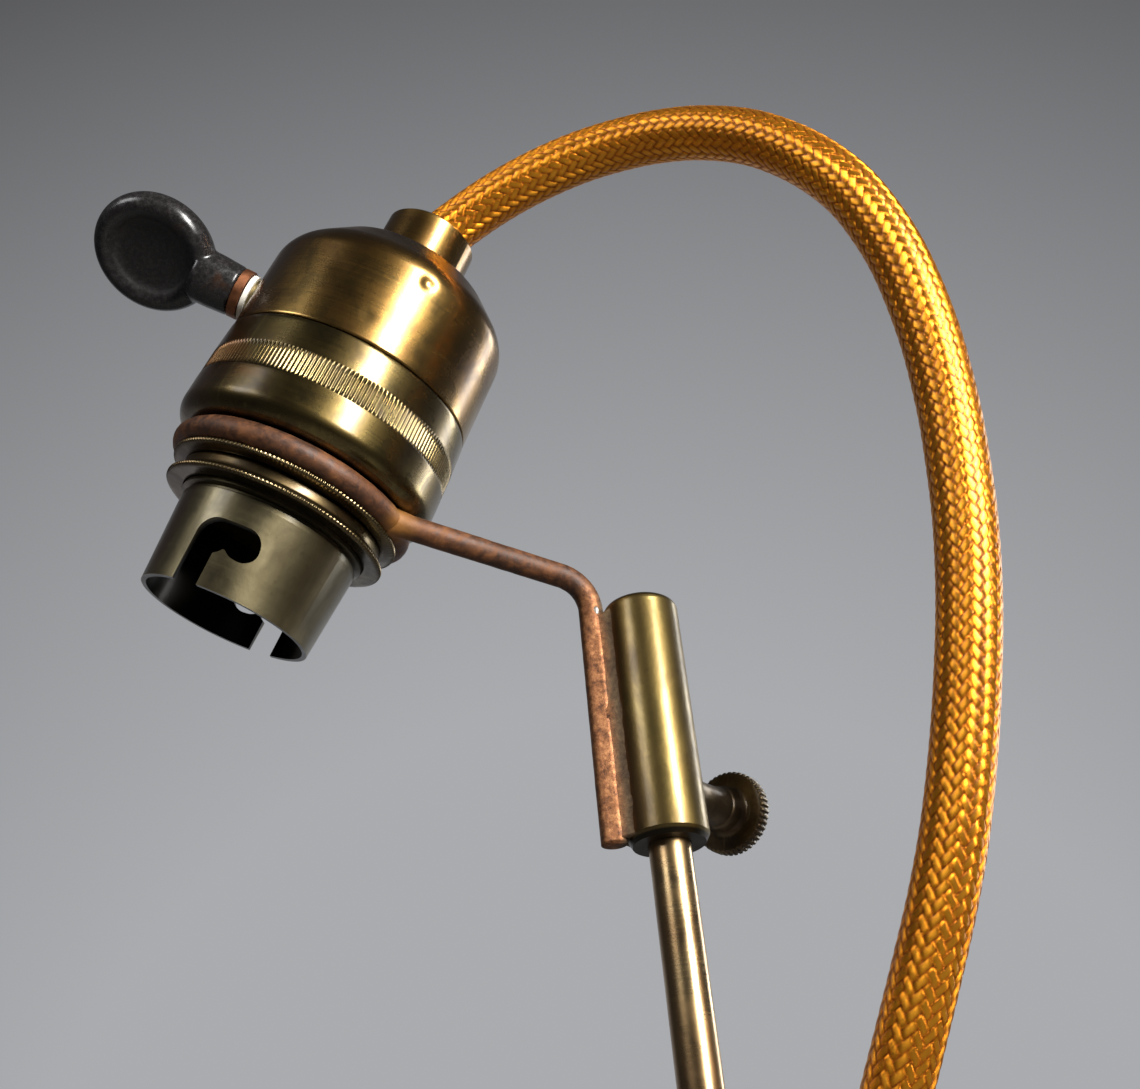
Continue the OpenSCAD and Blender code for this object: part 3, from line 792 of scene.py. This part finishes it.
def patinated_brass(name, light, mid, dark, amount=0.5, rough=(0.22, 0.42), frame_matrix=HOLDER,
        streak=(1, 1, 0.25), grain=0.25, painted_side_tone=None, inside=None, lacquer=0.35, under=None):
    """Old lacquered brass: blotches of brown over gold, faint turning marks, specks. The side-tone argument
    is an angle about the frame's axis and a colour painted on the side that faces it, as a painted side
    tone of light and shade; inside is a radius within which the metal is painted black as shade, and under
    a height below which it is painted black as shade."""
    s = Shader(name)
    local = s.turned_place(frame_matrix)
    blotch = s.noise(150, 8, 0.62, s.spread(streak, local), 0.8)
    specks = s.noise(900, 5, 0.7, local)
    patch = s.noise(60, 4, 0.5, local, 1.2)
    tone = s.maths("ADD", s.maths("MULTIPLY", blotch, 0.65), s.maths("MULTIPLY", patch, 0.35))
    low, high = 0.5 - 0.16 * (1.4 - amount), 0.5 + 0.16 * (1.4 - amount)
    colour = s.ramp(s.level(tone, low, high), (0.0, light), (0.5, mid), (1.0, dark))
    x, y, z = s.split(local)
    out = s.from_axis(x, y)
    # Painted side tone: the side facing the given angle is tinted with the given colour, blotched by the
    # patch noise, to stand in for light and shade on that side.
    if painted_side_tone is not None:
        angle = math.radians(painted_side_tone[0])
        toward = s.maths("ADD", s.maths("MULTIPLY", x, math.cos(angle)),
            s.maths("MULTIPLY", y, math.sin(angle)))
        stain_and_painted_tone = s.maths("ADD", s.maths("DIVIDE", toward, out), s.maths("MULTIPLY", patch, 1.4))
        colour = s.mix(s.level(stain_and_painted_tone, 1.15, 1.85, 0, 0.75), colour, painted_side_tone[1])
    colour = s.mix(s.level(specks, 0.58, 0.72, 0, 0.5), colour, dark)
    wear = s.level(s.pointiness(), 0.52, 0.58)
    colour = s.mix(s.maths("MULTIPLY", wear, 0.5), colour, light)
    # Painted shade: within the given radius the bore is painted near black, standing in for the shade
    # inside the socket.
    if inside is not None:
        colour = s.mix(s.level(out, inside, inside + 0.0001, 0.94, 0), colour, (0.004, 0.004, 0.004))
    # Painted shade: below the given height the underside is painted near black, standing in for the shade
    # under the sleeve.
    if under is not None:
        colour = s.mix(s.level(z, under, under + 0.0002, 0.9, 0), colour, (0.006, 0.005, 0.004))
    marks = s.noise(40, 3, 0.6, s.spread((1, 1, 90), local))
    roughness = s.level(s.maths("ADD", s.maths("MULTIPLY", blotch, 0.85), s.maths("MULTIPLY", marks, 0.15)),
        0.38, 0.62, rough[0], rough[1])
    normal = s.bump(marks, grain * 0.08, 0.00004)
    normal = s.bump(specks, grain, 0.00005, normal)
    s.set(Metallic=1.0, Coat_Weight=lacquer, Coat_Roughness=0.22)
    return s.finish(colour, roughness, None, normal)


def rusty_wire():
    """Orange-brown rust over dark steel, filed to a coppery sheen down the sleeve."""
    s = Shader("rusty_wire")
    rust = s.noise(700, 9, 0.7, None, 0.4)
    broad = s.noise(130, 4, 0.6)
    colour = s.ramp(s.maths("ADD", s.maths("MULTIPLY", rust, 0.6), s.maths("MULTIPLY", broad, 0.4)),
        (0.36, (0.016, 0.007, 0.003)), (0.46, (0.052, 0.019, 0.007)), (0.56, (0.115, 0.041, 0.012)),
        (0.68, (0.21, 0.082, 0.022)))
    x, y, z = s.split(s.place)
    out = s.from_axis(x, y)
    filed = s.maths("MULTIPLY", s.level(out, 0.0094, 0.0086), s.level(z, 0.330, 0.326))
    gold = s.level(s.distance_to((-0.0335, -0.0165, 0.3333)), 0.0045, 0.002)
    files = s.noise(950, 7, 0.75)
    copper = s.ramp(files, (0.34, (0.06, 0.026, 0.014)), (0.5, (0.23, 0.095, 0.04)),
        (0.66, (0.42, 0.2, 0.085)))
    colour = s.mix(s.maths("MULTIPLY", filed, 0.85), colour, copper)
    brazing = s.ramp(rust, (0.35, (0.05, 0.032, 0.02)), (0.52, (0.115, 0.075, 0.043)),
        (0.68, (0.2, 0.135, 0.075)))
    edge = s.maths("ADD", out, s.maths("MULTIPLY", broad, 0.0012))
    colour = s.mix(s.maths("MULTIPLY", filed, s.level(edge, 0.0074, 0.0064)), colour, brazing)
    colour = s.mix(s.maths("MULTIPLY", gold, 0.7), colour, (0.3, 0.125, 0.02))
    metal = s.level(filed, 0, 1, 0.25, 0.75)
    roughness = s.level(rust, 0.3, 0.7, 0.42, 0.72)
    normal = s.bump(s.maths("ADD", rust, s.maths("MULTIPLY", files, 0.5)), 0.55, 0.00016)
    return s.finish(colour, roughness, metal, normal)


def braided_silk():
    """Glossy art-silk braid: the shine runs across each float's yarns, and shade is painted dark into the
    valleys between floats.
    """
    s = Shader("braided_silk")
    height = s.attribute("braid_height")
    across = s.attribute("braid_across")
    blotch = s.noise(120, 3, 0.5)
    # Painted shade: colour runs by braid height from near black in the valleys between floats to bright
    # amber on the crowns.
    base = s.ramp(height, (0.05, (0.05, 0.006, 0.001)), (0.4, (0.34, 0.078, 0.002)),
        (0.8, (0.74, 0.265, 0.01)), (1.0, (0.86, 0.36, 0.02)))
    base = s.mix(s.level(blotch, 0.4, 0.7, 0, 0.35), base, (0.42, 0.11, 0.003))
    yarn = s.maths("SINE", s.maths("MULTIPLY", across, 44))
    fuzz = s.noise(2600, 3, 0.6)
    normal = s.bump(s.maths("ADD", yarn, fuzz), 0.35, 0.00003)
    way = s.nodes.new("ShaderNodeAttribute")
    way.attribute_name = "braid_way"
    s.join(way.outputs["Vector"], s.shader.inputs["Tangent"])
    s.set(Metallic=0.85, Anisotropic=0.9, Coat_Weight=0.25, Coat_Roughness=0.3)
    s.shader.inputs["Coat Tint"].default_value = (1.0, 0.93, 0.7, 1)
    return s.finish(base, s.level(fuzz, 0.3, 0.7, 0.26, 0.38), None, normal)


def worn_black():
    """Ebonite or bakelite rubbed shiny on its rim, dull and scratched in its dished face."""
    s = Shader("worn_black")
    local = s.turned_place(PADDLE)
    x, y, z = s.split(local)
    out = s.from_axis(x, y)
    face = s.level(out, 0.0064, 0.0056)
    grit = s.noise(1500, 6, 0.75, local)
    stain_and_painted_tone = s.noise(170, 4, 0.6, local, 0.5)
    colour = s.mix(s.level(grit, 0.45, 0.7), (0.009, 0.008, 0.008), (0.028, 0.026, 0.026))
    colour = s.mix(s.level(stain_and_painted_tone, 0.62, 0.72, 0, 0.4), colour, (0.05, 0.022, 0.01))
    roughness = s.maths("ADD", s.level(grit, 0.3, 0.7, 0.18, 0.34), s.maths("MULTIPLY", face, 0.3))
    depth = s.maths("MULTIPLY", grit, s.level(face, 0, 1, 0.15, 1.0))
    normal = s.bump(depth, 0.6, 0.00012)
    s.set(Specular_IOR_Level=0.38)
    return s.finish(colour, roughness, None, normal)


def moulded(name, light, dark, rough=0.25):
    """Mottled bakelite or plain insulation."""
    s = Shader(name)
    swirl = s.noise(140, 6, 0.6, None, 1.6)
    fine_grain = s.noise(1400, 4, 0.6)
    colour = s.ramp(swirl, (0.35, dark), (0.7, light))
    normal = s.bump(fine_grain, 0.2, 0.00005)
    return s.finish(colour, s.level(fine_grain, 0.3, 0.7, rough, rough + 0.15), None, normal)


def plain_metal(name, light, dark, rough=(0.25, 0.45), grain=700, depth=0.25):
    s = Shader(name)
    grit = s.noise(grain, 6, 0.65)
    broad = s.noise(90, 4, 0.55)
    colour = s.ramp(s.maths("ADD", s.maths("MULTIPLY", grit, 0.45), s.maths("MULTIPLY", broad, 0.55)),
        (0.38, dark), (0.62, light))
    s.set(Metallic=1.0)
    normal = s.bump(grit, depth, 0.00008)
    return s.finish(colour, s.level(grit, 0.35, 0.65, rough[0], rough[1]), None, normal)


def fibre():
    s = Shader("vulcan_fibre")
    grit = s.noise(1600, 6, 0.7)
    stain_and_painted_tone = s.noise(260, 4, 0.6)
    colour = s.ramp(stain_and_painted_tone, (0.35, (0.62, 0.57, 0.46)), (0.65, (0.8, 0.77, 0.68)))
    return s.finish(colour, s.level(grit, 0.3, 0.7, 0.6, 0.8), None, s.bump(grit, 0.4, 0.00006))


def felt():
    s = Shader("green_felt")
    fuzz = s.noise(1800, 8, 0.75)
    colour = s.ramp(fuzz, (0.3, (0.01, 0.03, 0.014)), (0.7, (0.035, 0.085, 0.04)))
    s.set(Sheen_Weight=0.4)
    return s.finish(colour, s.level(fuzz, 0.2, 0.8, 0.85, 1.0), None, s.bump(fuzz, 0.7, 0.0003))


def woven_tie():
    s = Shader("woven_tie")
    threads = s.noise(900, 3, 0.5, s.spread((1, 1, 5)))
    colour = s.ramp(threads, (0.35, (0.03, 0.025, 0.02)), (0.65, (0.1, 0.085, 0.065)))
    return s.finish(colour, s.level(threads, 0.3, 0.7, 0.7, 0.9), None, s.bump(threads, 0.6, 0.00015))


FOOT_FRAME = Matrix.Identity(4)
# Where a brass look gives an (angle, colour) pair, it is a painted side tone of light and shade on that
# side.
MATERIALS = {
    "satin_brass": patinated_brass("satin_brass", (0.50, 0.39, 0.18), (0.36, 0.265, 0.115),
        (0.17, 0.11, 0.045), 0.2, (0.26, 0.4), FOOT_FRAME, (1, 1, 0.35)),
    # The skirt's bore, within 11.9 mm of its axis, is painted black as shade.
    "skirt_brass": patinated_brass("skirt_brass", (0.145, 0.122, 0.068), (0.09, 0.075, 0.04),
        (0.036, 0.028, 0.015), 0.3, (0.3, 0.46), HOLDER, (1, 1, 0.4), 0.35,
        (-160, (0.15, 0.062, 0.024)), 0.0119),
    "cap_brass": patinated_brass("cap_brass", (0.26, 0.158, 0.036), (0.15, 0.083, 0.017),
        (0.055, 0.026, 0.006), 0.62, (0.2, 0.36), HOLDER, (1, 1, 0.8), 0.25,
        (-150, (0.15, 0.055, 0.011)), lacquer=0.45),
    "shell_brass": patinated_brass("shell_brass", (0.155, 0.113, 0.032), (0.085, 0.058, 0.015),
        (0.032, 0.021, 0.007), 0.55, (0.2, 0.36), HOLDER, (1, 1, 0.8), 0.25,
        (-160, (0.2, 0.072, 0.013)), lacquer=0.45),
    "ring_brass": patinated_brass("ring_brass", (0.16, 0.12, 0.05), (0.085, 0.058, 0.024),
        (0.032, 0.021, 0.01), 0.5, (0.24, 0.42), HOLDER, (1, 1, 0.5), 0.25,
        (-150, (0.15, 0.06, 0.02))),
    # The sleeve's underside, below 290.5 mm, is painted black as shade.
    "sleeve_brass": patinated_brass("sleeve_brass", (0.2, 0.148, 0.05), (0.125, 0.088, 0.028),
        (0.052, 0.032, 0.012), 0.5, (0.3, 0.46), FOOT_FRAME, (1, 1, 0.6), 0.6,
        (-165, (0.085, 0.045, 0.02)), under=0.2905),
    "rod_brass": patinated_brass("rod_brass", (0.44, 0.32, 0.16), (0.28, 0.175, 0.075),
        (0.11, 0.05, 0.02), 0.55, (0.2, 0.36), FOOT_FRAME, (1, 1, 0.6), 0.3,
        (-150, (0.17, 0.066, 0.026))),
    "screw_brass": patinated_brass("screw_brass", (0.17, 0.12, 0.06), (0.085, 0.058, 0.03),
        (0.03, 0.019, 0.011), 0.6, (0.4, 0.55), THUMB, (1, 1, 1), 0.5),
    "foot_brass": patinated_brass("foot_brass", (0.3, 0.21, 0.09), (0.18, 0.12, 0.048),
        (0.075, 0.045, 0.018), 0.45, (0.24, 0.4), FOOT_FRAME, (1, 1, 1)),
    "wire": rusty_wire(),
    "silk": braided_silk(),
    "black": worn_black(),
    "bakelite": moulded("bakelite", (0.13, 0.05, 0.025), (0.045, 0.018, 0.01)),
    "insulation": moulded("insulation", (0.09, 0.06, 0.045), (0.04, 0.026, 0.02), 0.5),
    "core_rubber": moulded("core_rubber", (0.3, 0.05, 0.035), (0.16, 0.025, 0.02), 0.5),
    "steel": plain_metal("steel", (0.55, 0.54, 0.5), (0.3, 0.29, 0.27)),
    "solder": plain_metal("solder", (0.5, 0.47, 0.42), (0.28, 0.25, 0.21), (0.4, 0.55)),
    "iron": plain_metal("iron", (0.16, 0.155, 0.15), (0.06, 0.055, 0.05), (0.45, 0.65), 500, 0.6),
    "copper": plain_metal("copper", (0.26, 0.105, 0.05), (0.1, 0.04, 0.02), (0.4, 0.55)),
    "fibre": fibre(),
    "felt": felt(),
    "tie": woven_tie(),
}

NODE_LOOKS = {
    "satin_brass": ("rod_socket", "terminal_posts", "terminal_screws", "plug_pins", "plug_screw",
        "key_bush", "key_spindle"),
    "skirt_brass": ("skirt",),
    "cap_brass": ("cap", "cord_grip"),
    "shell_brass": ("lower_shell",),
    "ring_brass": ("lower_shade_ring", "upper_shade_ring"),
    "sleeve_brass": ("clamp_sleeve",),
    "rod_brass": ("rod",),
    "screw_brass": ("thumbscrew",),
    "foot_brass": ("base_shell",),
    "wire": ("arm_ring", "arm_run", "arm_leg", "solder_fillet"),
    "black": ("key_paddle",),
    "bakelite": ("plug_body", "plug_front", "key_rotor"),
    "insulation": ("insulator", "cord_bush"),
    "core_rubber": ("core_wires",),
    "steel": ("plunger_a", "plunger_b", "socket_nut", "socket_washer"),
    "iron": ("base_weight",),
    "copper": ("key_ferrule", "contact_blades"),
    "fibre": ("fibre_washer",),
    "felt": ("base_felt",),
    "tie": ("cord_tie",),
    "silk": ("cord_upper", "cord_lower", "cord_coil", "cord_tail"),
}
for look, names in NODE_LOOKS.items():
    for node_name in names:
        dress(NODES[node_name], MATERIALS[look])
PIECE_LOOKS = {
    "silk": (flex_upper, flex_lower),
    "shell_brass": (lower_shell,),
    "ring_brass": shade_rings,
    "cap_brass": (cap,),
    "wire": (*arm_pieces, fillet),
    "solder": beads,
    "screw_brass": (thumbscrew, collar),
    "black": (key,),
    "steel": springs,
    "tie": (tie,),
}
for look, pieces in PIECE_LOOKS.items():
    for piece in pieces:
        dress(piece, MATERIALS[look])
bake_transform(flex_upper)
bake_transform(flex_lower)


# ---------------------------------------------------------------- room and light

FLOOR_HALF = 25000


def add_floor():
    corners = [(x * FLOOR_HALF, y * FLOOR_HALF, 0) for x, y in ((-1, -1), (1, -1), (1, 1), (-1, 1))]
    floor = add_mesh("floor", corners, [(0, 1, 2, 3)])
    s = Shader("floor_paint")
    grain = s.noise(40, 4, 0.5)
    colour = s.ramp(grain, (0.3, (0.6, 0.59, 0.57)), (0.7, (0.64, 0.63, 0.61)))
    dress(floor, s.finish(colour, s.level(grain, 0.3, 0.7, 0.6, 0.75)))


def add_area_light(name, place, aim, size, power, colour=(1, 1, 1)):
    data = bpy.data.lights.new(name, "AREA")
    data.shape = "RECTANGLE"
    data.size, data.size_y = size
    data.energy = power
    data.color = colour
    data.spread = math.radians(70)
    light = bpy.data.objects.new(name, data)
    light.location = place
    way = Vector(aim) - Vector(place)
    light.rotation_euler = way.to_track_quat("-Z", "Y").to_euler()
    bpy.context.scene.collection.objects.link(light)


def add_world():
    world = bpy.data.worlds.new("studio")
    world.use_nodes = True
    nodes, links = world.node_tree.nodes, world.node_tree.links
    background = nodes["Background"]
    place = nodes.new("ShaderNodeTexCoord")
    parts = nodes.new("ShaderNodeSeparateXYZ")
    ramp = nodes.new("ShaderNodeValToRGB")
    links.new(place.outputs["Generated"], parts.inputs[0])
    links.new(parts.outputs["Y"], ramp.inputs[0])
    ramp.color_ramp.elements[0].position = 0.4
    ramp.color_ramp.elements[0].color = (0.07, 0.07, 0.075, 1)
    ramp.color_ramp.elements[1].position = 0.9
    ramp.color_ramp.elements[1].color = (0.5, 0.51, 0.53, 1)
    links.new(ramp.outputs[0], background.inputs[0])
    background.inputs[1].default_value = 0.8
    bpy.context.scene.world = world


add_floor()
add_world()
HEAD_POINT = (-0.02, -0.015, 0.34)
add_area_light("key_light", (0.4, -0.5, 0.46), HEAD_POINT, (0.12, 0.34), 1.9, (1, 0.98, 0.95))
add_area_light("fill_light", (-0.5, -0.55, 0.7), HEAD_POINT, (0.3, 0.3), 0.35)
add_area_light("rim_light", (0.55, 0.4, 0.5), HEAD_POINT, (0.12, 0.5), 0.3)
bpy.context.scene.view_settings.view_transform = "Standard"
